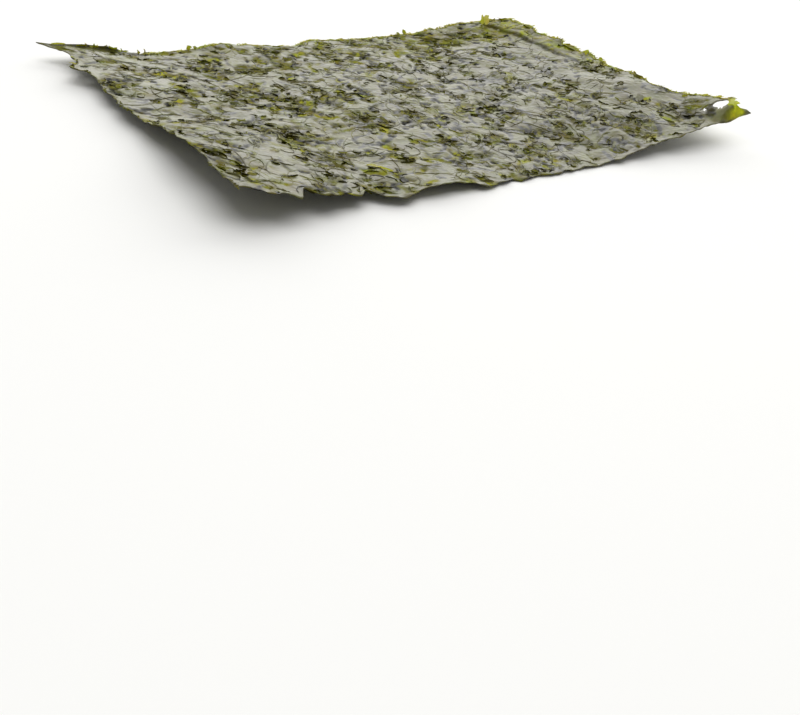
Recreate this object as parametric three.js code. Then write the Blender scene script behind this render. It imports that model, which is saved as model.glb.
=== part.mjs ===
// A sheet of pressed and dried laver: one crisp, thin sheet with torn edges, lying on a table.
// Its middle touches the table, its two short sides curl up, a strip of one short side is creased, a
// stretch of the back edge is turned up as a lip, and one corner has a torn hole. Millimetres, +Z up;
// the origin is on the table, under the middle of the sheet's box, with the long side along X.
import * as THREE from "three";

const { smoothstep, lerp, clamp } = THREE.MathUtils;

// The flat sheet
const SHEET_LENGTH = 270;
const SHEET_WIDTH = 190;
const SHEET_THICKNESS = 0.5;
const HALF_LENGTH = SHEET_LENGTH / 2;
const HALF_WIDTH = SHEET_WIDTH / 2;

// Torn edge: how far it wanders, how long its bites are and how deep into the sheet they pull
const TEAR_DEPTH = 2.4;
const LONG_TEAR = 13;
const SHORT_TEAR = 5;
const TEAR_REACH = 16;

// Pointed corner at the left of the back edge, and the one at the right of the front edge
const LEFT_TIP_REACH = 9;
const LEFT_TIP_RUN = 15;
const RIGHT_TIP_REACH = 8.9;
const RIGHT_TIP_RUN = 9;

// Blunt corner at the left of the front edge
const BLUNT_DEPTH = 4.5;
const BLUNT_RUN = 20;

// Piece torn off the back edge
const NOTCH_START = -102;
const NOTCH_END = -69;
const NOTCH_DEPTH = 1.2;

// Bays torn into the right side and the back edge: their middle, half width and depth, and how far they pull
const RIGHT_BAYS = [
  [-20, 16, 4.4],
  [-49, 13, 7],
];
const BACK_BAYS = [
  [-12, 11, 5],
  [39, 8, 2.4],
];
const BAY_REACH = 34;

// Curl of the two short sides: where it begins and how high the side stands
const LEFT_CURL_FRONT = -56;
const LEFT_CURL_BACK = -84;
const LEFT_RISE_FRONT = 16;
const LEFT_RISE_BACK = 7;
const RIGHT_CURL_START = 32;
const RIGHT_RISE_FRONT = 16.5;
const RIGHT_RISE_BACK = 6;
const CURL_POWER = 1.15;

// Scrap of the right side, round the hole, that stands up more, and the tip in front of it that hangs down
const SCRAP_INNER_X = 112;
const SCRAP_BACK_Y = -64;
const SCRAP_TOP_Y = -90;
const SCRAP_FRONT_Y = -95.5;
const SCRAP_RISE = 7.2;
const DROOP_X = 115;
const DROOP_Y = -86;
const DROOP = 5.5;

// Wave in the front edge
const WAVE_CENTRE = -45;
const WAVE_HALF_WIDTH = 22;
const WAVE_HEIGHT = 4.5;
const WAVE_RUN = 55;

// Waves in the back edge: their middle, half width and height, and how far they run into the sheet
const BACK_WAVES = [
  [-58, 12, 2.2],
  [85, 7, 1.2],
  [108, 8, 1.8],
];
const BACK_WAVE_RUN = 25;

// Buckles and wrinkles all over
const BUCKLE_HEIGHT = 1.1;
const BUCKLE_SIZE = 42;
const WRINKLE_HEIGHT = 0.7;
const WRINKLE_SIZE = 12;
const SAG = 0.9;

// Edge strip of the right side: it steps up at a crease and leans up from there to the edge. It grows
// from its front end to its full height and fades out at the back corner
const STRIP_WIDTH = 12;
const STRIP_STEP = 1.5;
const STEP_RUN = 3;
const STRIP_LEAN = 0.2;
const STRIP_FRONT = -20;
const STRIP_FULL = 72;
const STRIP_FADE = 80;
const STRIP_BACK = 97;

// Lip: the stretch of the back edge that is turned up about a crease, by its turn in radians. It grows
// from the corner to its full height and ends short
const LIP_WIDTH = 2.6;
const LIP_TURN = 1.6;
const LIP_RADIUS = 1.4;
const LIP_START = -147;
const LIP_FULL = -122;
const LIP_FADE = -112;
const LIP_END = -94;

// Torn hole in the front right corner
const HOLE_X = 129;
const HOLE_Y = -85.4;
const HOLE_RADIUS_X = 3.6;
const HOLE_RADIUS_Y = 3.8;

// Triangle net: cells each way, how much smaller they get towards the edges, and their unevenness
const LENGTH_CELLS = 62;
const WIDTH_CELLS = 45;
const EDGE_GRADING = 0.25;
const CELL_UNEVENNESS = 0.22;

const LAVER_COLOUR = 0x4d5040;
const LAVER_ROUGHNESS = 0.45;

// A number from 0 to 1 for each lattice point, always the same for the same seed
function latticeValue(i, j, seed) {
  let h = Math.imul(i, 374761393) + Math.imul(j, 668265263) + Math.imul(seed, 362437);
  h = Math.imul(h ^ (h >>> 13), 1274126177);
  return ((h ^ (h >>> 16)) >>> 0) / 4294967296;
}

// Smooth noise from -1 to 1
function noise(x, y, seed) {
  const i = Math.floor(x);
  const j = Math.floor(y);
  const across = smoothstep(x - i, 0, 1);
  const low = lerp(latticeValue(i, j, seed), latticeValue(i + 1, j, seed), across);
  const high = lerp(latticeValue(i, j + 1, seed), latticeValue(i + 1, j + 1, seed), across);
  return 2 * lerp(low, high, smoothstep(y - j, 0, 1)) - 1;
}

// 1 between two places and 0 outside them, with soft ends
function stretch(x, from, to, fade) {
  return smoothstep(x, from - fade / 2, from + fade / 2) * (1 - smoothstep(x, to - fade / 2, to + fade / 2));
}

// How far the torn edge lies inside the straight one, at a place along it
function tear(along, seed) {
  const long = noise(along / LONG_TEAR, 0.5, seed);
  const short = noise(along / SHORT_TEAR, 8.5, seed);
  return TEAR_DEPTH * (0.6 * long + 0.4 * short);
}

// The sum of soft bumps at a place along an edge, each given by its middle, half width and size
function bumps(along, rows) {
  const bump = ([middle, halfWidth, size]) => size * Math.exp(-(((along - middle) / halfWidth) ** 2));
  return rows.reduce((sum, row) => sum + bump(row), 0);
}

// How much of the lip there is at a place along the back edge
function lipShare(u) {
  return smoothstep(u, LIP_START, LIP_FULL) * (1 - smoothstep(u, LIP_FADE, LIP_END));
}

// The flat sheet's point (u, v) moved so that the straight edges become the torn ones
function tornPoint(u, v) {
  const pull = (inset, reach = TEAR_REACH) => Math.max(0, 1 - inset / reach) ** 2;
  const leftTip = LEFT_TIP_REACH * smoothstep(v, HALF_WIDTH - LEFT_TIP_RUN, HALF_WIDTH) ** 1.5;
  const rightTip = RIGHT_TIP_REACH * smoothstep(-v, HALF_WIDTH - RIGHT_TIP_RUN, HALF_WIDTH) ** 3;
  const notch = NOTCH_DEPTH * stretch(u, NOTCH_START, NOTCH_END, SHORT_TEAR);
  const blunt = BLUNT_DEPTH * (1 - smoothstep(u, -HALF_LENGTH, BLUNT_RUN - HALF_LENGTH));
  const left = pull(u + HALF_LENGTH) * (tear(v, 11) - leftTip);
  const right = pull(HALF_LENGTH - u) * (tear(v, 12) - rightTip);
  const front = pull(v + HALF_WIDTH) * (tear(u, 13) + blunt);
  const back = pull(HALF_WIDTH - v) * (tear(u, 14) * (1 - lipShare(u)) + notch);
  const rightBay = pull(HALF_LENGTH - u, BAY_REACH) * bumps(v, RIGHT_BAYS);
  const backBay = pull(HALF_WIDTH - v, BAY_REACH) * bumps(u, BACK_BAYS);
  return [u + left - right - rightBay, v + front - back - backBay];
}

// How much the front corner of the right side stands over the plain curl: the scrap up, the tip down
function cornerRise(u, v) {
  const outward = smoothstep(u, SCRAP_INNER_X, HALF_LENGTH);
  const climb = clamp((SCRAP_BACK_Y - v) / (SCRAP_BACK_Y - SCRAP_TOP_Y), 0, 1) ** 1.5;
  const scrap = SCRAP_RISE * outward * climb * (1 - smoothstep(-v, -SCRAP_TOP_Y, -SCRAP_FRONT_Y));
  const toTip = Math.max(0, u - DROOP_X) / (HALF_LENGTH + RIGHT_TIP_REACH - DROOP_X);
  return scrap - DROOP * toTip * smoothstep(-v, -DROOP_Y, HALF_WIDTH);
}

// How far the creased edge strip of the right side stands over the rest of the sheet
function stripRise(u, v) {
  const inset = HALF_LENGTH - u;
  const step = STRIP_STEP * clamp((STRIP_WIDTH + STEP_RUN - inset) / STEP_RUN, 0, 1) ** 2;
  const lean = STRIP_LEAN * Math.max(0, STRIP_WIDTH - inset);
  const along = smoothstep(v, STRIP_FRONT, STRIP_FULL) * (1 - smoothstep(v, STRIP_FADE, STRIP_BACK));
  return along * (step + lean);
}

// Height of the sheet's middle surface over the table, before the lip
function heightAt(u, v) {
  const toBack = clamp(v / SHEET_WIDTH + 0.5, 0, 1);
  const leftRise = lerp(LEFT_RISE_FRONT, LEFT_RISE_BACK, smoothstep(toBack, 0.22, 0.55));
  const rightRise = lerp(RIGHT_RISE_FRONT, RIGHT_RISE_BACK, toBack);
  const leftStart = lerp(LEFT_CURL_FRONT, LEFT_CURL_BACK, smoothstep(toBack, 0.5, 1));
  const leftRamp = clamp((leftStart - u) / (leftStart + HALF_LENGTH), 0, 1.25);
  const rightRamp = clamp((u - RIGHT_CURL_START) / (HALF_LENGTH - RIGHT_CURL_START), 0, 1.2);
  const curl = leftRise * leftRamp ** CURL_POWER + rightRise * rightRamp ** CURL_POWER;
  const nearFront = Math.max(0, 1 - (v + HALF_WIDTH) / WAVE_RUN);
  const wave = WAVE_HEIGHT * Math.exp(-(((u - WAVE_CENTRE) / WAVE_HALF_WIDTH) ** 2)) * nearFront;
  const nearBack = Math.max(0, 1 - (HALF_WIDTH - v) / BACK_WAVE_RUN) ** 2;
  const backWave = bumps(u, BACK_WAVES) * nearBack;
  const buckles = BUCKLE_HEIGHT * noise(u / BUCKLE_SIZE, v / BUCKLE_SIZE, 21);
  const wrinkles = WRINKLE_HEIGHT * noise(u / WRINKLE_SIZE, v / WRINKLE_SIZE, 22);
  const rise = curl + stripRise(u, v) + cornerRise(u, v) + wave + backWave + buckles + wrinkles;
  return SHEET_THICKNESS / 2 + Math.max(0, rise - SAG);
}

// Where a strip goes that runs past its crease by `run` and bends up round the crease by `turn` radians
function turnedUp(run, turn) {
  const bend = Math.min(run / LIP_RADIUS, turn);
  const straight = run - bend * LIP_RADIUS;
  const outward = LIP_RADIUS * Math.sin(bend) + straight * Math.cos(bend);
  const upward = LIP_RADIUS * (1 - Math.cos(bend)) + straight * Math.sin(bend);
  return { outward, upward };
}

// The sheet's middle surface: the flat point (u, v) torn, curled and turned up
function sheetPoint(flatU, flatV) {
  const [u, v] = tornPoint(flatU, flatV);
  const share = lipShare(u);
  const crease = HALF_WIDTH - LIP_WIDTH * share;
  const point = new THREE.Vector3(u, v, heightAt(u, Math.min(v, crease)));
  if (v > crease) {
    const lip = turnedUp(v - crease, LIP_TURN * share);
    point.y = crease + lip.outward;
    point.z += lip.upward;
  }
  return point;
}

// A net coordinate from -1 to 1, with the cells closer together towards both ends
function graded(t) {
  return t * (1 + EDGE_GRADING) - EDGE_GRADING * t ** 3;
}

// The net of the flat sheet, its inner points moved a little so that the facets come out uneven
function flatNet() {
  const net = new THREE.PlaneGeometry(2, 2, LENGTH_CELLS, WIDTH_CELLS);
  const place = net.getAttribute("position");
  for (let k = 0; k < place.count; k++) {
    const inside = Math.abs(place.getX(k)) < 0.999 && Math.abs(place.getY(k)) < 0.999;
    const stray = inside ? CELL_UNEVENNESS : 0;
    const s = place.getX(k) + (stray * 2 * (2 * latticeValue(k, 1, 31) - 1)) / LENGTH_CELLS;
    const t = place.getY(k) + (stray * 2 * (2 * latticeValue(k, 2, 31) - 1)) / WIDTH_CELLS;
    place.setXY(k, HALF_LENGTH * graded(s), HALF_WIDTH * graded(t));
  }
  return net;
}

// The net's triangles without the cells of the torn hole
function trianglesRoundHole(net) {
  const place = net.getAttribute("position");
  const corners = net.index.array;
  const kept = [];
  for (let k = 0; k < corners.length; k += 6) {
    const cell = [...corners.slice(k, k + 6)];
    const x = cell.reduce((sum, c) => sum + place.getX(c), 0) / cell.length;
    const y = cell.reduce((sum, c) => sum + place.getY(c), 0) / cell.length;
    if (((x - HOLE_X) / HOLE_RADIUS_X) ** 2 + ((y - HOLE_Y) / HOLE_RADIUS_Y) ** 2 > 1) kept.push(...cell);
  }
  return kept;
}

// The triangles' outer edges, each in its triangle's own direction: those that no second triangle shares
function openEdges(triangles) {
  const edges = new Map();
  for (let k = 0; k < triangles.length; k += 3) {
    for (let side = 0; side < 3; side++) {
      const a = triangles[k + side];
      const b = triangles[k + ((side + 1) % 3)];
      if (!edges.delete(`${b} ${a}`)) edges.set(`${a} ${b}`, [a, b]);
    }
  }
  return [...edges.values()];
}

// The closed solid: the middle surface moved half the thickness to each side, and a wall round each edge
function sheetSolid() {
  const net = flatNet();
  const triangles = trianglesRoundHole(net);
  const place = net.getAttribute("position");
  for (let k = 0; k < place.count; k++) {
    place.setXYZ(k, ...sheetPoint(place.getX(k), place.getY(k)));
  }
  net.computeVertexNormals();
  const normal = net.getAttribute("normal");
  const vertices = [];
  for (const side of [0.5, -0.5]) {
    for (let k = 0; k < place.count; k++) {
      const out = new THREE.Vector3().fromBufferAttribute(normal, k);
      const point = new THREE.Vector3().fromBufferAttribute(place, k);
      vertices.push(...point.addScaledVector(out, side * SHEET_THICKNESS));
    }
  }
  const under = (k) => k + place.count;
  const faces = [...triangles];
  for (let k = 0; k < triangles.length; k += 3) {
    faces.push(under(triangles[k]), under(triangles[k + 2]), under(triangles[k + 1]));
  }
  for (const [a, b] of openEdges(triangles)) {
    faces.push(a, under(a), b, b, under(a), under(b));
  }
  const solid = new THREE.BufferGeometry();
  solid.setAttribute("position", new THREE.Float32BufferAttribute(vertices, 3));
  solid.setIndex(faces);
  return solid;
}

const laver = new THREE.MeshStandardMaterial({
  color: LAVER_COLOUR,
  roughness: LAVER_ROUGHNESS,
  metalness: 0,
});
const noriSheet = new THREE.Mesh(sheetSolid(), laver);
noriSheet.name = "nori_sheet";

const group = new THREE.Group();
group.add(noriSheet);

export default group;
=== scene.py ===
# %% [markdown]
# A sheet of pressed laver.
# Laver is a thin red seaweed. It is chopped, poured on a mat, pressed and dried, so the finished sheet is
# a felt of thin leaves that overlap and stick to each other. The lesson builds it as it is made: a thin
# film that holds the sheet's form, then leaves on both faces, then the shreds that stand out of the torn
# edges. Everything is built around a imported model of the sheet, which gives the size, the place and the
# floor.

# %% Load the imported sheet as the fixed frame
import math

import bpy
import numpy as np
from mathutils import Matrix, Vector


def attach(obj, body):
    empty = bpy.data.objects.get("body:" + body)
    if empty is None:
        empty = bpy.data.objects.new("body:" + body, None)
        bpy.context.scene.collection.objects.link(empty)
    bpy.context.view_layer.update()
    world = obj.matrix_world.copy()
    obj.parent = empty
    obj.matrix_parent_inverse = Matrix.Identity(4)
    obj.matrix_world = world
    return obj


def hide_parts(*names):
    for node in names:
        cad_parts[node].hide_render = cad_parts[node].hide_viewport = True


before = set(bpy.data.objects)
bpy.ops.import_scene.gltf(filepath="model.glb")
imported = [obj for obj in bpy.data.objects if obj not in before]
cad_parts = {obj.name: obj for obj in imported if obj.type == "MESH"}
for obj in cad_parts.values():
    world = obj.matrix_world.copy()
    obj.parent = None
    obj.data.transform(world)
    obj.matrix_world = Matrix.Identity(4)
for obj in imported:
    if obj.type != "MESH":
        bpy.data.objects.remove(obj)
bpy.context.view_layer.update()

MM = 0.001
SHEET_NODE = "nori_sheet"


# %% [markdown]
# The camera comes first, because the view decides which details are worth modelling. A photographer who
# stands close to a table and looks down past a sheet sees it in strong perspective and almost edge on. A
# camera could be moved by eye until it fits. Here its place, direction and lens were found by matching
# the four corners of a sheet of known size, which leaves nothing to taste.
# A camera looks down its own -Z, so it is first rolled about that axis, then tipped up, then turned.

# %% Camera
IMAGE_WIDTH, SENSOR_WIDTH = 800, 36.0
FOCAL_PIXELS = 921.8
CAMERA_PLACE = (-267.1, -350.7, 150.1)
CAMERA_AZIMUTH, CAMERA_ELEVATION, CAMERA_ROLL = -39.51, 34.18, 8.55


def turn(degrees, axis):
    return Matrix.Rotation(math.radians(degrees), 4, axis)


lens = bpy.data.cameras.new("camera")
lens.sensor_fit, lens.sensor_width = "HORIZONTAL", SENSOR_WIDTH
lens.lens = FOCAL_PIXELS / IMAGE_WIDTH * SENSOR_WIDTH
lens.clip_start = 0.01
camera = bpy.data.objects.new("camera", lens)
camera.matrix_world = (
    Matrix.Translation([v * MM for v in CAMERA_PLACE])
    @ turn(CAMERA_AZIMUTH, "Z") @ turn(90 - CAMERA_ELEVATION, "X") @ turn(CAMERA_ROLL, "Z")
)
bpy.context.scene.collection.objects.link(camera)
bpy.context.scene.camera = camera
print("camera lens in mm:", round(lens.lens, 1))

# %% [markdown]
# A dried sheet is never flat: its short sides curl up, its edges wave and tear, one end of the back edge
# is turned up as a lip, and a strip along the right side stands over a crease. Such a form could be
# sculpted, or simulated as cloth. A formula is used instead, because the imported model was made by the
# same one, so the film lies where the model lies. A point (u, v) of the flat sheet, in millimetres from
# its middle, is moved so that the straight edges become torn ones, then lifted, and then turned up at the
# lip.
# Writing the formula on numpy arrays moves all points in one go, which is far faster than a Python loop.

# %% Seeded noise
def lattice_value(i, j, seed):
    """A number from 0 to 1 for each lattice point, always the same for the same seed."""
    wrap = np.int64(0xFFFFFFFF)
    i, j = np.asarray(i).astype(np.int64), np.asarray(j).astype(np.int64)
    h = (i * 374761393 + j * 668265263 + seed * 362437) & wrap
    h = ((h ^ (h >> 13)) * 1274126177) & wrap
    return (h ^ (h >> 16)) / 4294967296.0


def smoothstep(x, low, high):
    t = np.clip((x - low) / (high - low), 0, 1)
    return t * t * (3 - 2 * t)


def noise(x, y, seed):
    """Smooth noise from -1 to 1."""
    x, y = np.broadcast_arrays(np.asarray(x, float), np.asarray(y, float))
    i, j = np.floor(x), np.floor(y)
    across, up = smoothstep(x - i, 0, 1), smoothstep(y - j, 0, 1)
    low = lattice_value(i, j, seed) * (1 - across) + lattice_value(i + 1, j, seed) * across
    high = lattice_value(i, j + 1, seed) * (1 - across) + lattice_value(i + 1, j + 1, seed) * across
    return 2 * (low * (1 - up) + high * up) - 1


print("noise at one place:", round(float(noise(0.3, 0.7, 1)), 3))

# %% The sheet's sizes, in millimetres
SHEET_LENGTH, SHEET_WIDTH, SHEET_THICKNESS = 270, 190, 0.5
HALF_LENGTH, HALF_WIDTH = SHEET_LENGTH / 2, SHEET_WIDTH / 2
TEAR_DEPTH, LONG_TEAR, SHORT_TEAR, TEAR_REACH = 2.4, 13, 5, 16
LEFT_TIP_REACH, LEFT_TIP_RUN = 9, 15
RIGHT_TIP_REACH, RIGHT_TIP_RUN = 8.9, 9
BLUNT_DEPTH, BLUNT_RUN = 4.5, 20
NOTCH_START, NOTCH_END, NOTCH_DEPTH = -102, -69, 1.2
RIGHT_BAYS = [(-20, 16, 4.4), (-49, 13, 7)]
BACK_BAYS = [(-12, 11, 5), (39, 8, 2.4)]
BAY_REACH = 34
BACK_WAVES = [(-58, 12, 2.2), (85, 7, 1.2), (108, 8, 1.8)]
BACK_WAVE_RUN = 25
LEFT_CURL_FRONT, LEFT_CURL_BACK = -56, -84
LEFT_RISE_FRONT, LEFT_RISE_BACK = 16, 7
RIGHT_CURL_START, RIGHT_RISE_FRONT, RIGHT_RISE_BACK = 32, 16.5, 6
CURL_POWER = 1.15
SCRAP_INNER_X, SCRAP_BACK_Y, SCRAP_TOP_Y, SCRAP_FRONT_Y, SCRAP_RISE = 112, -64, -90, -95.5, 7.2
DROOP_X, DROOP_Y, DROOP = 115, -86, 5.5
WAVE_CENTRE, WAVE_HALF_WIDTH, WAVE_HEIGHT, WAVE_RUN = -45, 22, 4.5, 55
BUCKLE_HEIGHT, BUCKLE_SIZE = 1.1, 42
WRINKLE_HEIGHT, WRINKLE_SIZE = 0.7, 12
SAG = 0.9
STRIP_WIDTH, STRIP_STEP, STEP_RUN, STRIP_LEAN = 12, 1.5, 3, 0.2
STRIP_FRONT, STRIP_FULL, STRIP_FADE, STRIP_BACK = -20, 72, 80, 97
LIP_WIDTH, LIP_TURN, LIP_RADIUS = 2.6, 1.6, 1.4
LIP_START, LIP_FULL, LIP_FADE, LIP_END = -147, -122, -112, -94
HOLE_X, HOLE_Y, HOLE_RADIUS_X, HOLE_RADIUS_Y = 129, -85.4, 3.6, 3.8
print("flat sheet in mm:", SHEET_LENGTH, "x", SHEET_WIDTH)


# %% The torn outline
def stretch(x, start, end, fade):
    """1 between two places and 0 outside them, with soft ends."""
    rising = smoothstep(x, start - fade / 2, start + fade / 2)
    return rising * (1 - smoothstep(x, end - fade / 2, end + fade / 2))


def tear(along, seed):
    long, short = noise(along / LONG_TEAR, 0.5, seed), noise(along / SHORT_TEAR, 8.5, seed)
    return TEAR_DEPTH * (0.6 * long + 0.4 * short)


def bumps(along, rows):
    """The sum of soft bumps along an edge, each given by its middle, half width and size."""
    return sum(size * np.exp(-(((along - middle) / half_width) ** 2)) for middle, half_width, size in rows)


def lip_share(u):
    """How much of the lip there is at a place along the back edge."""
    return smoothstep(u, LIP_START, LIP_FULL) * (1 - smoothstep(u, LIP_FADE, LIP_END))


def torn(u, v):
    """The flat points moved so that the straight edges become the torn ones."""
    def pull(inset, reach=TEAR_REACH):
        return np.maximum(0, 1 - np.maximum(inset, 0) / reach) ** 2
    left_tip = LEFT_TIP_REACH * smoothstep(v, HALF_WIDTH - LEFT_TIP_RUN, HALF_WIDTH) ** 1.5
    right_tip = RIGHT_TIP_REACH * smoothstep(-v, HALF_WIDTH - RIGHT_TIP_RUN, HALF_WIDTH) ** 3
    notch = NOTCH_DEPTH * stretch(u, NOTCH_START, NOTCH_END, SHORT_TEAR)
    blunt = BLUNT_DEPTH * (1 - smoothstep(u, -HALF_LENGTH, BLUNT_RUN - HALF_LENGTH))
    left = pull(u + HALF_LENGTH) * (tear(v, 11) - left_tip)
    right = pull(HALF_LENGTH - u) * (tear(v, 12) - right_tip)
    front = pull(v + HALF_WIDTH) * (tear(u, 13) + blunt)
    back = pull(HALF_WIDTH - v) * (tear(u, 14) * (1 - lip_share(u)) + notch)
    right_bay = pull(HALF_LENGTH - u, BAY_REACH) * bumps(v, RIGHT_BAYS)
    back_bay = pull(HALF_WIDTH - v, BAY_REACH) * bumps(u, BACK_BAYS)
    return u + left - right - right_bay, v + front - back - back_bay


print("left back tip in mm:", *[round(float(x), 1) for x in torn(-HALF_LENGTH, HALF_WIDTH)])


# %% The height over the floor
def corner_rise(u, v):
    """How much the front corner of the right side stands over the plain curl: the scrap up, the tip down."""
    outward = smoothstep(u, SCRAP_INNER_X, HALF_LENGTH)
    climb = np.clip((SCRAP_BACK_Y - v) / (SCRAP_BACK_Y - SCRAP_TOP_Y), 0, 1) ** 1.5
    scrap = SCRAP_RISE * outward * climb * (1 - smoothstep(-v, -SCRAP_TOP_Y, -SCRAP_FRONT_Y))
    to_tip = np.maximum(0, u - DROOP_X) / (HALF_LENGTH + RIGHT_TIP_REACH - DROOP_X)
    return scrap - DROOP * to_tip * smoothstep(-v, -DROOP_Y, HALF_WIDTH)


def strip_rise(u, v):
    """How far the creased edge strip of the right side stands over the rest of the sheet."""
    inset = HALF_LENGTH - u
    step = STRIP_STEP * np.clip((STRIP_WIDTH + STEP_RUN - inset) / STEP_RUN, 0, 1) ** 2
    lean = STRIP_LEAN * np.maximum(0, STRIP_WIDTH - inset)
    along = smoothstep(v, STRIP_FRONT, STRIP_FULL) * (1 - smoothstep(v, STRIP_FADE, STRIP_BACK))
    return along * (step + lean)


def height_at(u, v):
    """Height of the middle surface over the floor, before the lip."""
    to_back = np.clip(v / SHEET_WIDTH + 0.5, 0, 1)
    left_rise = LEFT_RISE_FRONT + (LEFT_RISE_BACK - LEFT_RISE_FRONT) * smoothstep(to_back, 0.22, 0.55)
    right_rise = RIGHT_RISE_FRONT + (RIGHT_RISE_BACK - RIGHT_RISE_FRONT) * to_back
    left_start = LEFT_CURL_FRONT + (LEFT_CURL_BACK - LEFT_CURL_FRONT) * smoothstep(to_back, 0.5, 1)
    left_ramp = np.clip((left_start - u) / (left_start + HALF_LENGTH), 0, 1.25)
    right_ramp = np.clip((u - RIGHT_CURL_START) / (HALF_LENGTH - RIGHT_CURL_START), 0, 1.2)
    curl = left_rise * left_ramp**CURL_POWER + right_rise * right_ramp**CURL_POWER
    near_front = np.maximum(0, 1 - (v + HALF_WIDTH) / WAVE_RUN)
    wave = WAVE_HEIGHT * np.exp(-(((u - WAVE_CENTRE) / WAVE_HALF_WIDTH) ** 2)) * near_front
    near_back = np.maximum(0, 1 - np.maximum(HALF_WIDTH - v, 0) / BACK_WAVE_RUN) ** 2
    back_wave = bumps(u, BACK_WAVES) * near_back
    buckles = BUCKLE_HEIGHT * noise(u / BUCKLE_SIZE, v / BUCKLE_SIZE, 21)
    wrinkles = WRINKLE_HEIGHT * noise(u / WRINKLE_SIZE, v / WRINKLE_SIZE, 22)
    rise = curl + strip_rise(u, v) + corner_rise(u, v) + wave + back_wave + buckles + wrinkles
    return SHEET_THICKNESS / 2 + np.maximum(0, rise - SAG)


print("height of the middle in mm:", round(float(height_at(0, 0)), 2))


# %% The lip, and the whole middle surface
def turned_up(run, bend_limit):
    """How far out and up a strip goes that runs past its crease by `run`."""
    run = np.maximum(run, 0)
    bend = np.minimum(run / LIP_RADIUS, bend_limit)
    straight = run - bend * LIP_RADIUS
    outward = LIP_RADIUS * np.sin(bend) + straight * np.cos(bend)
    upward = LIP_RADIUS * (1 - np.cos(bend)) + straight * np.sin(bend)
    return outward, upward


def sheet_point(flat_u, flat_v):
    """The middle surface: flat points torn, curled and turned up, as an array of x, y, z."""
    u, v = torn(flat_u, flat_v)
    crease = HALF_WIDTH - LIP_WIDTH * lip_share(u)
    outward, upward = turned_up(v - crease, LIP_TURN * lip_share(u))
    x = u
    y = np.minimum(v, crease) + outward
    z = height_at(u, np.minimum(v, crease)) + upward
    return np.stack([x, y, z], -1)


def sheet_normal(u, v, step=0.5):
    along = sheet_point(u + step, v) - sheet_point(u - step, v)
    across = sheet_point(u, v + step) - sheet_point(u, v - step)
    normal = np.cross(along, across)
    return normal / np.linalg.norm(normal, axis=-1, keepdims=True)


corners = [(u, v) for u in (-HALF_LENGTH, HALF_LENGTH) for v in (-HALF_WIDTH, HALF_WIDTH)]
corner_heights = [round(float(sheet_point(u, v)[2]), 1) for u, v in corners]
print("corner heights in mm, left front, left back, right front, right back:", corner_heights)

# %% [markdown]
# Pressed laver isn't smooth: flat leaves lie over each other like wet tissue. Bump from a noise texture
# would look like cloud or bark, because no leaf in it has an outline. So the relief is stamped: a leaf
# shape is laid on a height map at a random place and direction, and where it stands higher than what is
# there, it wins. The same stamp leaves its own shade in a second map and its own dullness in a third, so
# that the film changes from leaf to leaf, as the real one does.

# %% Maps of the felt, and a leaf's place on them
CELL = 1.05
CELLS_U, CELLS_V = round(SHEET_LENGTH / CELL), round(SHEET_WIDTH / CELL)
PLAIN_SHADE = 0.45
rng = np.random.default_rng(7)

grid_u = np.linspace(-HALF_LENGTH, HALF_LENGTH, CELLS_U + 1)
grid_v = np.linspace(-HALF_WIDTH, HALF_WIDTH, CELLS_V + 1)
felt_height = np.zeros((CELLS_V + 1, CELLS_U + 1))
felt_shade = np.full_like(felt_height, PLAIN_SHADE)
felt_matte = np.zeros_like(felt_height)


def leaf_window(u0, v0, half_length, half_width, bow=0.8):
    """The part of the map round a leaf at a random angle, and the leaf's dome there.

    The dome is 1 in the leaf's middle and under 0 outside it.
    """
    angle, reach = rng.uniform(0, math.pi), half_length + 1
    i = slice(*np.searchsorted(grid_u, [u0 - reach, u0 + reach]))
    j = slice(*np.searchsorted(grid_v, [v0 - reach, v0 + reach]))
    du, dv = grid_u[i][None, :] - u0, grid_v[j][:, None] - v0
    along = (du * math.cos(angle) + dv * math.sin(angle)) / half_length
    across = (dv * math.cos(angle) - du * math.sin(angle)) / half_width + bow * (along**2 - 0.3)
    return (j, i), 1 - across**2 - along**4


print("points of a felt map:", felt_height.shape[1], "x", felt_height.shape[0])

# %% Stamp the felt of leaves
FOLD_STAMPS, LEAF_STAMPS = 300, 4200
HOLE_CLEARANCE, CREASE_CLEARANCE = 9, 3


def stamp_leaf(u0, v0, half_length, half_width, rise, base, shade):
    """Lay one leaf on the maps, wherever it stands higher than what is there."""
    window, leaf = leaf_window(u0, v0, half_length, half_width)
    wins = (leaf > 0) & (base + rise * leaf > felt_height[window])
    felt_height[window][wins] = (base + rise * leaf)[wins]
    felt_shade[window][wins] = shade
    felt_matte[window][wins] = 0.6 * rng.beta(1, 2)


def blurred(field, times):
    """A map with each point mixed with its neighbours."""
    for _ in range(times):
        for axis in (0, 1):
            field = (np.roll(field, 1, axis) + 2 * field + np.roll(field, -1, axis)) / 4
    return field


def strewn(count, margin=0.0):
    """Random places on the flat sheet, clear of its edges, the hole, the lip and the crease."""
    half_length, half_width = HALF_LENGTH - margin, HALF_WIDTH - margin
    u = rng.uniform(-half_length, half_length, 2 * count)
    v = rng.uniform(-half_width, half_width, 2 * count)
    by_hole = np.hypot(u - HOLE_X, v - HOLE_Y) <= HOLE_CLEARANCE
    on_lip = (lip_share(u) > 0.05) & (v > HALF_WIDTH - 2 * LIP_WIDTH)
    on_crease = (np.abs(HALF_LENGTH - STRIP_WIDTH - 1 - u) < CREASE_CLEARANCE) & (v > 0)
    clear = np.flatnonzero(~by_hole & ~on_lip & ~on_crease)[:count]
    return u[clear], v[clear]


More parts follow.
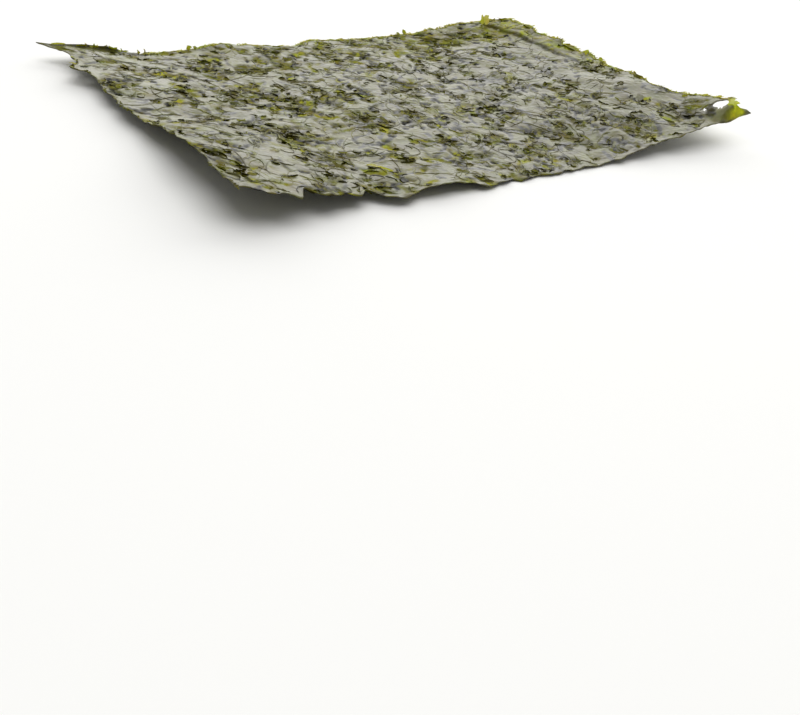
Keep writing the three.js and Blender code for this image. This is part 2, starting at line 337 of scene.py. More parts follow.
for u0, v0 in zip(*strewn(FOLD_STAMPS)):
    stamp_leaf(
        u0, v0, half_length=rng.uniform(10, 26), half_width=rng.uniform(2, 5),
        rise=rng.uniform(0.2, 0.55), base=0, shade=rng.uniform(0.38, 0.55),
    )
for u0, v0 in zip(*strewn(LEAF_STAMPS)):
    stamp_leaf(
        u0, v0, half_length=rng.uniform(3, 14), half_width=rng.uniform(1, 3.5),
        rise=rng.uniform(0.08, 0.3), base=rng.uniform(0, 0.3), shade=rng.uniform(0.38, 0.56),
    )
felt_height = blurred(felt_height, 1)
print("felt stamps:", FOLD_STAMPS + LEAF_STAMPS, "mean relief in mm:", round(float(felt_height.mean()), 2))

# %% [markdown]
# Here and there the smooth upper leaves are missing. The felt under them is rough and doesn't shine, so
# these patches look olive or dark between the grey gloss. Dull leaves also cross the face as short curved
# strokes, and small pits are sunk and painted almost black, a painted shade for the dark inside them.
# They could be painted by hand, stroke by stroke. Here the
# same leaf shape is stamped in three sizes, mostly where the felt is clumped: any number of them costs
# nothing, and relief, shade and dullness always change together.

# %% Where the felt is clumped
CLUMP_FLOOR = 0.24
CLUMP_SIZE, SMALL_CLUMP_SIZE = 14, 6
SMOOTH_U, SMOOTH_V, SMOOTH_RADIUS_U, SMOOTH_RADIUS_V = -118, 82, 30, 16


def clump_at(u, v):
    """1 where leaves lie crumpled and 0 where they lie flat, as they do by the lip."""
    from_smooth = np.hypot((u - SMOOTH_U) / SMOOTH_RADIUS_U, (v - SMOOTH_V) / SMOOTH_RADIUS_V)
    by_lip = 1 - smoothstep(from_smooth, 0.5, 1.1)
    wide = noise(u / CLUMP_SIZE, v / CLUMP_SIZE, 51)
    narrow = noise(u / SMALL_CLUMP_SIZE, v / SMALL_CLUMP_SIZE, 52)
    return smoothstep(0.6 * wide + 0.4 * narrow - by_lip, -0.1, 0.6)


def strewn_in_clumps(count):
    """Random places, most of them in clumps."""
    u, v = strewn(20 * count)
    chance = CLUMP_FLOOR + (1 - CLUMP_FLOOR) * clump_at(u, v)
    keep = np.flatnonzero(chance > rng.random(len(u)))[:count]
    return u[keep], v[keep]


print("clump at the sheet's middle:", round(float(clump_at(0, 0)), 2))

# %% Patches, strokes and pits
PATCHES, PATCH_SHADES = 600, (0.1, 0.74)
STROKES, STROKE_SHADES = 850, (-0.2, 0.6)
PITS, PIT_SHADOW_SHADE, PIT_DEPTH = 300, -0.3, 0.4
CRUMPLE, CRUMPLE_SIZE, DEEPEST = 0.2, 1.7, -0.1


def inside(leaf, sharpness):
    """1 inside a leaf and 0 outside it, with an edge as sharp as asked."""
    return np.clip(sharpness * leaf, 0, 1)


def toward(field, value, share):
    """Mix a map with one value, by a share from 0 to 1."""
    return field + (value - field) * share


def duller(window, share):
    """Make a part of the sheet at least as dull as a share."""
    felt_matte[window] = np.maximum(felt_matte[window], share)


patch_u, patch_v = strewn_in_clumps(PATCHES)
for u0, v0 in zip(patch_u, patch_v):
    size = rng.beta(1.2, 2.3)
    window, leaf = leaf_window(u0, v0, 1.5 + 7 * size, 0.9 + 3.6 * size * rng.uniform(0.5, 1))
    felt_height[window] -= rng.uniform(0.15, 0.5) * inside(leaf, 3)
    duller(window, inside(leaf, 2.5))
    felt_shade[window] = toward(felt_shade[window], rng.uniform(*PATCH_SHADES), inside(leaf, 3))
for u0, v0 in zip(*strewn_in_clumps(STROKES)):
    half_length, half_width = rng.uniform(2.5, 9), rng.uniform(0.8, 1.5)
    window, leaf = leaf_window(u0, v0, half_length, half_width, bow=half_length * rng.normal(0, 0.4))
    share = inside(leaf, 2)
    duller(window, rng.uniform(0.4, 1) * share)
    felt_shade[window] = toward(felt_shade[window], rng.uniform(*STROKE_SHADES), share)
    felt_height[window] += rng.uniform(-0.25, 0.2) * share
# Pits are sunk and painted almost black: a painted shade for the dark inside them.
for u0, v0 in zip(*strewn_in_clumps(PITS)):
    window, leaf = leaf_window(u0, v0, rng.uniform(1.2, 3.2), rng.uniform(0.9, 1.5))
    share = inside(leaf, 2.5)
    duller(window, share)
    felt_shade[window] = toward(felt_shade[window], PIT_SHADOW_SHADE, share)
    felt_height[window] -= PIT_DEPTH * share
crumple = noise(grid_u[None, :] / CRUMPLE_SIZE, grid_v[:, None] / CRUMPLE_SIZE, 53)
felt_height = np.maximum(felt_height + CRUMPLE * felt_matte * crumple, DEEPEST)
# Where many dull leaves lie together, the gaps between them are dull too.
felt_matte = np.maximum(blurred(felt_matte, 1), 1.1 * blurred(felt_matte, 8) - 0.15)
bridged_height = blurred(felt_height, 4)
print("dull share of the face:", round(float(felt_matte.mean()), 2))

# %% [markdown]
# Some places are this sheet's own: the crease and the mottled strip beside it, the lip, the ripple of
# the front and left edges, and the right front corner with its yellow frond, its silky scrap and a dark
# wedge by the hole. The crease's dark line and the dark lip are painted shade, and the silky scrap is
# partly a painted reflection. Each could be a piece of its own with its own material, but then a seam
# would show. They are painted on the film's maps through masks instead: a mask is 1 inside its place and
# 0 outside it, with a ragged border.

# %% Crease and side strip
CREASE_FRONT, CREASE_FULL, CREASE_WIDTH, CREASE_DEPTH = -40, 10, 2.4, 0.5
CREASE_SHADOW_SHADE, STRIP_SHADE = 0.02, 0.62
map_u, map_v = np.meshgrid(grid_u, grid_v)


def map_noise(size, seed):
    """Noise over the whole map, with lumps of a size in millimetres."""
    return noise(map_u / size, map_v / size, seed)


def paint(share, shade=None, matte=None):
    """Mix the map of shade or of dullness, or both, with a value, by a share from 0 to 1."""
    if shade is not None:
        felt_shade[:] = toward(felt_shade, shade, share)
    if matte is not None:
        felt_matte[:] = toward(felt_matte, matte, share)


ragged = 1.2 * map_noise(5, 61) + 0.6 * map_noise(2, 62)
from_right = HALF_LENGTH - map_u + ragged
on_strip = smoothstep(map_v, CREASE_FRONT, CREASE_FULL)
on_strip *= 1 - smoothstep(map_v, STRIP_FADE + 6, STRIP_BACK)
strip_share = on_strip * (1 - smoothstep(from_right, STRIP_WIDTH - 1, STRIP_WIDTH))
beside_strip = stretch(from_right, STRIP_WIDTH, STRIP_WIDTH + CREASE_WIDTH, 1)
crease_groove_and_shadow = np.minimum(1, 1.5 * on_strip) * beside_strip
crease_groove_and_shadow *= 0.82 + 0.18 * noise(map_v / 8, 0.5, 63)
paint(0.4 * on_strip * (1 - smoothstep(from_right, STRIP_WIDTH, 32)), matte=1)
paint(0.8 * strip_share, matte=0.1)
paint(0.9 * strip_share, shade=STRIP_SHADE + 0.2 * ragged)
# The crease is sunk as a real groove and painted almost black along it: a painted shadow of the fold.
paint(crease_groove_and_shadow, CREASE_SHADOW_SHADE, matte=1)
felt_height -= CREASE_DEPTH * crease_groove_and_shadow
print("share of the face on the side strip:", round(float(strip_share.mean()), 3))

# %% Duller back, mottled strip and rippled edges
STRIP_RELIEF = 0.25
RIPPLE, RIPPLE_REACH, RIPPLE_SIZE = 1.1, 4.5, 3.2
# The back of the sheet is duller, most of all on the right, and its right front shines more.
to_back, to_right = smoothstep(map_v, 35, 75), smoothstep(map_u, -70, 60)
felt_matte += to_back * (0.1 + 0.18 * to_right) - 0.25 * to_right * (1 - to_back)
strip_mottle = 0.6 * map_noise(2.2, 67) + 0.4 * map_noise(1.2, 68)
felt_shade += 0.2 * strip_share * (strip_mottle - 0.3)
paint(strip_share * np.clip(0.3 + 0.6 * strip_mottle, 0, 1), matte=1)
felt_height += STRIP_RELIEF * strip_share * strip_mottle
near_front = 1 - smoothstep(map_v + HALF_WIDTH, 0, RIPPLE_REACH)
near_left = (1 - smoothstep(map_u + HALF_LENGTH, 0, RIPPLE_REACH)) * (1 - smoothstep(map_v, 45, 70))
felt_height += RIPPLE * np.maximum(near_front, near_left) * (0.5 + 0.5 * map_noise(RIPPLE_SIZE, 69))
print("dull share of the face now:", round(float(felt_matte.mean()), 2))

# %% Lip and right front corner
LIP_SHADOW_SHADE, FROND_SHADE, LOBE_SHADE, PAINTED_SHEEN_SHADE, WEDGE_SHADE = 0.02, 0.76, 0.75, 0.6, 0.03
# Each spot is its middle and its two radii.
WEDGE = [
    (120.6, -88, 2.2, 2.6), (122.6, -86.2, 2, 2.2), (124.6, -84.2, 1.6, 2), (126.4, -82.4, 1.3, 1.6),
]
FROND, LOBE, CORNER_DULL_SPOT = (132.3, -89.8, 3.8, 3.3), (128.2, -93.6, 4.2, 2), (125.5, -74, 8.5, 8)
LIP_END_SHADOW_SPOT, GLOW_SPOT = (-102, 91.6, 10, 3), (131, 28, 7, 24)
PAINTED_SHEEN_SPOTS = [(124.5, -90.5, 4, 4), (119.4, -91.6, 4.5, 2.8)]


def spot(u, v, radius_u, radius_v):
    """1 inside a ragged oval, 0 outside it."""
    out = np.hypot((map_u - u) / radius_u, (map_v - v) / radius_v)
    return 1 - smoothstep(out + 0.1 * ragged, 0.7, 1.05)


def spots(rows):
    """Several spots as one mask."""
    return np.maximum.reduce([spot(*row) for row in rows])


from_back = HALF_WIDTH - map_v + 0.4 * ragged
# The lip's turned-up face and a spot at its end are painted almost black: painted shade on a face turned
# from the light, and a painted shadow at the lip's foot.
lip_shaded_face = np.minimum(1, 3 * lip_share(map_u)) * (1 - smoothstep(from_back, LIP_WIDTH - 1, LIP_WIDTH))
lip_shaded_face = np.maximum(lip_shaded_face, spot(*LIP_END_SHADOW_SPOT))
paint(lip_shaded_face, LIP_SHADOW_SHADE, matte=0.8)
frond, lobe = spot(*FROND), spot(*LOBE)
paint(lobe, LOBE_SHADE)
paint(frond, FROND_SHADE)
paint(np.maximum(frond, lobe), matte=0.8)
# A darker, duller spot with its own relief on the rising right front corner.
corner_dull = spot(*CORNER_DULL_SPOT) * np.clip(0.8 + 0.8 * map_noise(2.5, 64), 0, 1)
paint(corner_dull, shade=0.34 + 0.3 * map_noise(3, 65), matte=1)
felt_height += 0.25 * corner_dull * map_noise(2, 66)
# The silky scrap by the hole is made glossier and painted lighter: part real gloss, part painted reflection.
paint(spots(PAINTED_SHEEN_SPOTS), PAINTED_SHEEN_SHADE, matte=0.1)
paint(spots(WEDGE), WEDGE_SHADE, matte=0.9)
print("lowest and highest relief in mm:", felt_height.min().round(2), felt_height.max().round(2))

# %% Thin places, and reading a map anywhere
edge_thin = np.maximum.reduce([
    1 - smoothstep(from_right, 0.3, 3.0),
    (1 - smoothstep(from_back, 0.3, 2.6)) * (1 - 0.6 * lip_shaded_face),
    0.4 * (1 - smoothstep(HALF_LENGTH + map_u + ragged, 0.3, 2.2)),
    0.2 * (1 - smoothstep(HALF_WIDTH + map_v + ragged, 0.2, 1.2)),
])
# The middle of the side strip is made thin so that it glows: more light comes through it, and its colour is
# painted paler, partly a painted glow.
strip_glow = 0.5 * strip_share * spot(*GLOW_SPOT)
felt_thin = np.maximum.reduce([0.6 * edge_thin, 0.3 * strip_share, strip_glow, frond, 0.6 * lobe])


def on_grid(field, u, v):
    """A map's value at any place, mixed from the four grid points round it."""
    s = np.clip((u + HALF_LENGTH) / SHEET_LENGTH * CELLS_U, 0, CELLS_U - 1e-6)
    t = np.clip((v + HALF_WIDTH) / SHEET_WIDTH * CELLS_V, 0, CELLS_V - 1e-6)
    i, j = s.astype(int), t.astype(int)
    s, t = s - i, t - j
    low = field[j, i] * (1 - s) + field[j, i + 1] * s
    high = field[j + 1, i] * (1 - s) + field[j + 1, i + 1] * s
    return low * (1 - t) + high * t


print("thin share of the face:", round(float(felt_thin.mean()), 3))

# %% [markdown]
# The film is the body of the sheet. A plane with a Displace modifier could carry the relief, but it moves
# points one way only and can't tear an edge. So a flat grid primitive is used, with a cell of about a
# millimetre, which is about what the camera can see. Its points take the sheet's form and the felt's
# relief, the faces inside the torn hole and the pinholes are deleted in edit mode, and a Solidify
# modifier gives it its thickness and closes its edges.

# %% Film: its bitten edges
FINE_TEAR, FINE_TEAR_SIZE, FINE_TEAR_REACH = 0.8, 4.5, 5
FINER, OTHER_EDGE, FRONT_TEAR_SHARE = 2.3, 500, 1.6
BITE_REACH = 14
# Each bite is its middle along the edge, its half width and its depth. A depth under 0 stands out.
LEFT_BITES = [(61, 6, -5)]
FRONT_BITES = [
    (-126, 3.5, -1.6), (-113, 2.3, -3.2), (-107, 3.0, 5.6), (-93, 5, 1.6), (-79, 4.5, 4.8),
    (-67, 5.5, -3.4),
]
RIGHT_BITES = [
    (53, 4, 3.0), (41, 4, 2.0), (29.5, 2.2, 3.2), (17.5, 1.5, 1.5), (4.5, 2.2, 2.2), (-8, 3, 2),
    (-44, 3.5, 2.4), (-56, 3, 2.2), (-95, 1.3, -4),
]
BACK_BITES = [(-29, 4, 2), (-21, 2.5, 3.4)]


def fine_torn(u, v):
    """Small tears and bites on top of the torn outline, only near the edge itself."""
    from_side, from_end = HALF_WIDTH - np.abs(v), HALF_LENGTH - np.abs(u)
    reach = np.clip(1 - np.minimum(from_end, from_side) / FINE_TEAR_REACH, 0, 1)

    def nibbled(along, seed):
        coarse = noise(along / FINE_TEAR_SIZE, 0.5, seed)
        fine = noise(along / FINE_TEAR_SIZE * FINER, 4.5, seed)
        return FINE_TEAR * reach * (0.7 * coarse + 0.3 * fine)

    def bitten(along, inset, rows):
        return bumps(along, rows) * np.clip(1 - inset / BITE_REACH, 0, 1) ** 2

    du = nibbled(v + OTHER_EDGE * (u > 0), 41) * (np.abs(u) > HALF_LENGTH - FINE_TEAR_REACH)
    dv = nibbled(u + OTHER_EDGE * (v > 0), 42) * (np.abs(v) > HALF_WIDTH - FINE_TEAR_REACH)
    dv = np.where(v < 0, FRONT_TEAR_SHARE * dv, dv)
    du = du + bitten(v, HALF_LENGTH + u, LEFT_BITES) - bitten(v, HALF_LENGTH - u, RIGHT_BITES)
    dv = dv + bitten(u, HALF_WIDTH + v, FRONT_BITES) - bitten(u, HALF_WIDTH - v, BACK_BITES)
    return u + du, v + dv


print("bites:", len(LEFT_BITES + FRONT_BITES + RIGHT_BITES + BACK_BITES))


# %% Film: the grid
def deselect_all():
    bpy.ops.object.select_all(action="DESELECT")


deselect_all()
bpy.ops.mesh.primitive_grid_add(x_subdivisions=CELLS_U, y_subdivisions=CELLS_V, size=1)
film = bpy.context.object
film.name = film.data.name = "laver_film"
flat = np.empty(len(film.data.vertices) * 3, np.float32)
film.data.vertices.foreach_get("co", flat)
flat = flat.reshape(-1, 3).astype(float) * (SHEET_LENGTH, SHEET_WIDTH, 0)
print("film grid points:", len(flat))

# %% Film: torn hole, tip notch and pinholes
# Each hole is its middle and its two radii.
TIP_NOTCH = [(136.4, -90.7, 2.3, 1.3), (137.2, -91.5, 3.8, 2.1), (136.6, -93.2, 4.6, 1.35)]
NAMED_HOLES = [(-121.8, 79.8, 1.5, 1.4), (-131, 62.5, 1.2, 1.2), (122, -83, 1.0, 0.8)]
PINHOLES, RIM_REACH = 40, 1.25 * CELL
holes = [(HOLE_X - 0.2, HOLE_Y - 0.9, HOLE_RADIUS_X, HOLE_RADIUS_Y - 0.5)] + TIP_NOTCH + NAMED_HOLES
for _ in range(PINHOLES):
    radius = rng.uniform(0.7, 1.2)
    holes.append((rng.uniform(-126, 116), rng.uniform(-88, 88), radius, radius))

in_hole = np.zeros(len(flat), bool)
film_u, film_v = flat[:, 0].copy(), flat[:, 1].copy()
for x, y, radius_x, radius_y in holes:
    du, dv = flat[:, 0] - x, flat[:, 1] - y
    out = np.maximum(np.hypot(du / radius_x, dv / radius_y), 1e-6)
    in_hole |= out < 1
    rim = (out >= 1) & (np.hypot(du, dv) * (1 - 1 / out) < RIM_REACH)
    film_u[rim] = (x + du / out)[rim]
    film_v[rim] = (y + dv / out)[rim]
film_u, film_v = fine_torn(film_u, film_v)
print("holes:", len(holes), "grid points in them:", int(in_hole.sum()))


# %% Film: form, relief and maps
def select_vertices(obj, chosen):
    """Select these vertices, and the edges and faces whose corners are all among them."""
    obj.data.vertices.foreach_set("select", chosen)
    edges = np.empty(len(obj.data.edges) * 2, np.int32)
    obj.data.edges.foreach_get("vertices", edges)
    obj.data.edges.foreach_set("select", chosen[edges.reshape(-1, 2)].all(1))
    faces = [all(chosen[k] for k in face.vertices) for face in obj.data.polygons]
    obj.data.polygons.foreach_set("select", faces)


def add_attribute(obj, name, values):
    """Store one number or one vector for each vertex."""
    values = np.asarray(values, np.float32)
    kind, field = ("FLOAT", "value") if values.ndim == 1 else ("FLOAT_VECTOR", "vector")
    obj.data.attributes.new(name, kind, "POINT").data.foreach_set(field, values.ravel())


relief = on_grid(felt_height, flat[:, 0], flat[:, 1])
place = sheet_point(film_u, film_v) + sheet_normal(film_u, film_v) * relief[:, None]
film.data.vertices.foreach_set("co", (place * MM).astype(np.float32).ravel())
add_attribute(film, "flat_place", flat)
for name, felt_map in (("shade", felt_shade), ("matte", felt_matte), ("thin", felt_thin)):
    add_attribute(film, name, on_grid(felt_map, flat[:, 0], flat[:, 1]))
select_vertices(film, in_hole)
bpy.ops.object.mode_set(mode="EDIT")
bpy.ops.mesh.select_mode(type="VERT")
bpy.ops.mesh.delete(type="VERT")
bpy.ops.mesh.select_all(action="SELECT")
bpy.ops.mesh.delete_loose()
bpy.ops.object.mode_set(mode="OBJECT")
print("film points left round the holes:", len(film.data.vertices))

# %% Film: thickness, and a map for its two faces
FILM_THICKNESS = 0.22
UV_MARGIN, UV_SPAN = 0.01, 0.98
upper_faces = len(film.data.polygons)
wall = film.modifiers.new("thickness", "SOLIDIFY")
wall.thickness, wall.offset = FILM_THICKNESS * MM, 0
bpy.ops.object.modifier_apply(modifier=wall.name)
bpy.ops.object.shade_smooth()


def film_map(obj):
    """A UV map: the upper face in the upper half of the square, the under face in the lower half."""
    mesh = obj.data
    places = np.empty(len(mesh.vertices) * 3, np.float32)
    mesh.attributes["flat_place"].data.foreach_get("vector", places)
    places = places.reshape(-1, 3)[:, :2] / (SHEET_LENGTH, SHEET_WIDTH) + 0.5
    corner_vertex = np.empty(len(mesh.loops), np.int32)
    mesh.loops.foreach_get("vertex_index", corner_vertex)
    first = np.empty(len(mesh.polygons), np.int32)
    mesh.polygons.foreach_get("loop_start", first)
    face = np.searchsorted(first, np.arange(len(mesh.loops)), side="right") - 1
    uv = UV_MARGIN + UV_SPAN * places[corner_vertex]
    uv[:, 1] = uv[:, 1] / 2 + np.where(face < upper_faces, 0.5, 0)
    mesh.uv_layers.new(name="OFBake").uv.foreach_set("vector", uv.astype(np.float32).ravel())


film_map(film)
print("film faces:", len(film.data.polygons))

# %% [markdown]
# Wide flat leaves are stuck over the felt, each a thin irregular flake a few millimetres across. One
# flake could be modelled by hand and copied, but then all would have one outline. Here a flake is a
# closed lens: a ring of points for its rim, a smaller ring and a point in the middle for its upper side,
# and one point for its under side. There are hundreds, so all are worked out at once as arrays and joined
# in one mesh. A flake's place is found on the flat sheet and carried up by the sheet's formula, so it
# follows every curl.

# %% Tools for joined leaves
SMOOTH_ANGLE, LOWEST = 50, 0.01
GRAIN_STEP = 3.7


def joined_mesh(name, points, triangles, face):
    """One object of many small closed forms on the upper face (1) or the under face (-1).

    `points` is leaves x points x 3, `triangles` are those of one leaf on the upper face.
    """
    count, per_leaf = points.shape[:2]
    if face < 0:
        triangles = triangles[:, ::-1]
    corners = (triangles[None] + np.arange(count)[:, None, None] * per_leaf).astype(np.int32).ravel()
    mesh = bpy.data.meshes.new(name)
    mesh.vertices.add(count * per_leaf)
    mesh.vertices.foreach_set("co", (points * MM).astype(np.float32).ravel())
    mesh.loops.add(len(corners))
    mesh.loops.foreach_set("vertex_index", corners)
    mesh.polygons.add(len(corners) // 3)
    mesh.polygons.foreach_set("loop_start", np.arange(0, len(corners), 3, dtype=np.int32))
    mesh.update(calc_edges=True)
    obj = bpy.data.objects.new(name, mesh)
    bpy.context.scene.collection.objects.link(obj)
    deselect_all()
    obj.select_set(True)
    bpy.context.view_layer.objects.active = obj
    bpy.ops.object.shade_smooth_by_angle(angle=math.radians(SMOOTH_ANGLE))
    print(name, "leaves:", count, "triangles:", len(mesh.polygons))
    return obj


def on_sheet(u, v, rise, face, ground):
    """Points at a height over the felt, on the upper face (1) or the under face (-1)."""
    lift = FILM_THICKNESS / 2 + rise + (on_grid(ground, u, v) if face > 0 else 0)
    u, v = fine_torn(u, v)
    points = sheet_point(u, v) + face * sheet_normal(u, v) * lift[..., None]
    points[..., 2] = np.maximum(points[..., 2], LOWEST)
    return points


def finish_leaves(obj, points_per_leaf, shade, along, across):
    """Keep each leaf's shade and a grain that runs along it."""
    count = len(shade)
    number = np.repeat(np.arange(count, dtype=float)[:, None], points_per_leaf, 1)
    add_attribute(obj, "shade", np.repeat(shade, points_per_leaf))
    add_attribute(obj, "grain", np.stack([along, across, number * GRAIN_STEP], -1).reshape(-1, 3))


middle = on_sheet(*np.zeros((3, 1)), 1, felt_height)[0, 2]
print("height of the felt's upper face in the middle, in mm:", round(float(middle), 2))

# %% Wide flakes
RIM, INNER_RING = 16, 0.66
UPPER_FLAKES, UNDER_FLAKES, FLAKE_MARGIN = 16, 900, 7
ANY_PHASE = 6.3


def flake_triangles():
    """Rim points first, then the inner ring, then the upper and the lower middle."""
    k = np.arange(RIM)
    after = (k + 1) % RIM
    inner, inner_after = k + RIM, after + RIM
    top, bottom = np.full(RIM, 2 * RIM), np.full(RIM, 2 * RIM + 1)
    return np.concatenate([
        np.stack([k, after, inner_after], 1), np.stack([k, inner_after, inner], 1),
        np.stack([inner, inner_after, top], 1), np.stack([after, k, bottom], 1),
    ])


def flakes(name, count, face):
    """Wide leaves, most of them where the felt lies flat."""
    def each(low, high):
        """One random number for each flake."""
        return rng.uniform(low, high, (count, 1))

    def laid(u, v, rise):
        return on_sheet(u, v, rise, face, bridged_height)

    def rings(distance):
        """A distance at the rim, at the inner ring and at the two middles."""
        return np.concatenate([distance, INNER_RING * distance, np.zeros((count, 2))], 1)

    u, v = strewn(6 * count, margin=FLAKE_MARGIN)
    lies_flat = clump_at(u, v) < rng.random(len(u))
    u, v = u[lies_flat][:count, None], v[lies_flat][:count, None]
    turned = np.arange(RIM) * 2 * math.pi / RIM + each(0, ANY_PHASE)
    outline = 1 + sum(
        each(0, 0.34 / k**0.5) * np.cos(k * turned + each(0, ANY_PHASE)) for k in (2, 3, 5)
    )
    half_length, half_width = each(2, 6), each(1.0, 3.2)
    along, across = half_length * outline * np.cos(turned), half_width * outline * np.sin(turned)
    angle = each(0, 2 * math.pi)
    du = along * np.cos(angle) - across * np.sin(angle)
    dv = along * np.sin(angle) + across * np.cos(angle)
    layer = each(-0.05, 0.28)
    curled = np.where(rng.random((count, 1)) < 0.4, each(0.1, 0.7), 0)
    curl = curled * np.maximum(0, np.cos(turned - each(0, ANY_PHASE))) ** 3
    ripple = rng.normal(0, 0.05, (count, RIM))
    points = np.concatenate([
        laid(u + du, v + dv, layer - 0.04 + curl + ripple),
        laid(u + INNER_RING * du, v + INNER_RING * dv, layer + 0.03 + 0.3 * curl - ripple),
        laid(u, v, layer + 0.05 + rng.normal(0, 0.05, (count, 1))),
        laid(u, v, layer - 0.06),
    ], 1)
    piece = joined_mesh(name, points, flake_triangles(), face)
    finish_leaves(piece, 2 * RIM + 2, rng.uniform(0.3, 0.62, count), rings(along), rings(across))
    return piece


upper_flakes = flakes("laver_upper_flakes", UPPER_FLAKES, 1)
under_flakes = flakes("laver_under_flakes", UNDER_FLAKES, -1)

# %% [markdown]
# Narrow leaves lie between and over the flakes: long thin strands that read as dark lines, and short
# curled bits in the clumps. Hair curves could draw them, but hair is round and isn't a mesh that can be
# handed on. So each is a closed strip: a row of diamond-shaped sections that shrink to a point at both
# ends, with a ragged outline and one side that may stand up.

# %% Narrow strips
SECTIONS, AROUND = 8, 4
STRIP_THICKNESS = 0.07


def strip_triangles():
    """Two tips first, then rings of four points from one end to the other."""
    ring = np.arange(AROUND)
    after = (ring + 1) % AROUND
    first, last = 2, 2 + (SECTIONS - 2) * AROUND
    parts = [
        np.stack([np.zeros(AROUND, int), first + after, first + ring], 1),
        np.stack([np.ones(AROUND, int), last + ring, last + after], 1),
    ]
    for k in range(SECTIONS - 2):
        low, high = first + k * AROUND, first + (k + 1) * AROUND
        parts.append(np.stack([low + ring, low + after, high + after], 1))
        parts.append(np.stack([low + ring, high + after, high + ring], 1))
    return np.concatenate(parts)


def strips(name, kind, face, overhang):
    """One piece of strips, which may pass the sheet's edge by the overhang.

    `kind` holds arrays with one number for each strip.
    """
    count = len(kind["u"])
    kind = {key: value[:, None] for key, value in kind.items()}
    s = np.linspace(-1, 1, SECTIONS + 1)[None]
    heading = kind["angle"] + kind["bow"] * s
    limit_u, limit_v = HALF_LENGTH + overhang, HALF_WIDTH + overhang
    middle_u = np.clip(kind["u"] + s * kind["half_length"] * np.cos(heading), -limit_u, limit_u)
    middle_v = np.clip(kind["v"] + s * kind["half_length"] * np.sin(heading), -limit_v, limit_v)
    taper = (1 - np.abs(s) ** kind["blunt"]) ** 0.6
    outline = 1 - kind["ragged"] * rng.random((2, count, SECTIONS + 1))
    left, right = kind["half_width"] * taper * outline
    ripple = kind["ripple"] * rng.normal(0, 1, (count, SECTIONS + 1))
    base = kind["base"] + kind["climb"] * (s + 1) / 2 + ripple
    crown = base + kind["crown"] * taper

    def at(offset, rise):
        u, v = middle_u - np.sin(heading) * offset, middle_v + np.cos(heading) * offset
        return on_sheet(u, v, rise, face, felt_height)

    sections = np.stack([
        at(left, base + kind["lift_left"] * taper),
        at(0, crown - STRIP_THICKNESS),
        at(-right, base + kind["lift_right"] * taper),
        at(0, crown),
    ], 2)
    tips = sections[:, [0, -1], 3]
    points = np.concatenate([tips, sections[:, 1:-1].reshape(count, -1, 3)], 1)
    piece = joined_mesh(name, points, strip_triangles(), face)
    along = np.concatenate([s[:, [0, -1]], np.repeat(s[:, 1:-1], AROUND, 1)], 1) * kind["half_length"]
    across = np.concatenate([[0, 0], np.tile([1, 0, -1, 0], SECTIONS - 1)])[None] * kind["half_width"]
    finish_leaves(piece, points.shape[1], kind["shade"][:, 0], along, across)
    return piece


print("triangles of one strip:", len(strip_triangles()))

# %% Strands and curled bits
INSIDE = -0.6
STRANDS, UPPER_BITS, UNDER_BITS = 1300, 1300, 400
STRAND_MARGIN, BIT_MARGIN, BIT_SPREAD, BIT_CLEARANCE = 5, 4, 2.4, 11
MOVE_U, MOVE_V = -40, 30


def strands(count):
    """Long thin leaves and a few wider ones, anywhere on the face."""
    u, v = strewn(count, margin=STRAND_MARGIN)
    still = np.zeros(count)
    slim = rng.random(count) < 0.85
    return dict(
        u=u, v=v, angle=rng.uniform(0, 2 * math.pi, count), bow=rng.normal(0, 0.5, count),
        half_length=np.where(slim, rng.uniform(3, 10, count), rng.uniform(2, 6, count)),
        half_width=np.where(slim, rng.uniform(0.25, 0.6, count), rng.uniform(0.5, 1.2, count)),
        base=rng.uniform(-0.1, 0.1, count), crown=rng.uniform(0.08, 0.22, count),
        ripple=np.full(count, 0.04), lift_left=still, lift_right=still, climb=still,
        blunt=np.full(count, 2.5), ragged=np.full(count, 0.55),
        shade=rng.uniform(0.25, 0.6, count),
    )


def curled_bits(count):
    """Short bits round the dull patches, each with one side that stands up."""
    at = rng.integers(0, len(patch_u), count)
    u, v = patch_u[at] + rng.normal(0, BIT_SPREAD, count), patch_v[at] + rng.normal(0, BIT_SPREAD, count)
    limit_u, limit_v = HALF_LENGTH - BIT_MARGIN, HALF_WIDTH - BIT_MARGIN
    u, v = np.clip(u, -limit_u, limit_u), np.clip(v, -limit_v, limit_v)
    by_hole = np.hypot(u - HOLE_X, v - HOLE_Y) < BIT_CLEARANCE
    u, v = np.where(by_hole, u + MOVE_U, u), np.where(by_hole, v + MOVE_V, v)
    bits = strands(count)
    side, lift = rng.random(count) < 0.5, rng.uniform(0.1, 0.7, count)
    bits.update(
        u=u, v=v, bow=rng.normal(0, 0.9, count),
        half_length=rng.uniform(1.4, 4.6, count), half_width=rng.uniform(0.35, 0.9, count),
        lift_left=np.where(side, lift, -0.1), lift_right=np.where(side, -0.1, lift),
        ripple=np.full(count, 0.07), shade=0.1 + 0.76 * rng.beta(1.8, 2, count),
    )
    return bits


def together(*kinds):
    """Several kinds of strips as one."""
    return {key: np.concatenate([kind[key] for kind in kinds]) for key in kinds[0]}


upper_leaves = together(strands(STRANDS), curled_bits(UPPER_BITS))
upper_strips = strips("laver_upper_strips", upper_leaves, 1, INSIDE)
under_leaves = together(strands(STRANDS), curled_bits(UNDER_BITS))
under_strips = strips("laver_under_strips", under_leaves, -1, INSIDE)

# %% [markdown]
# Where the sheet was torn, thin leaves stick out of the edge. Light goes through them, so they look
# yellow-green. Most lie along the edge and show as a thin rim; a few stand out as tufts. An image with
# holes on a flat card is a common way to make such a fringe, but it has no side view. They are made by
# the same strips instead.

# %% Shreds along the torn edges
SHREDS, SHRED_REACH = 900, 6
FRONT, BACK, LEFT, RIGHT = range(4)
EDGE_SHARES = (0.02, 0.45, 0.06, 0.47)
TUFTS_ALONG, TUFT_LEVEL = 14, 0.55
RIGHT_TIP_V, LEFT_TIP_U = -88, -120


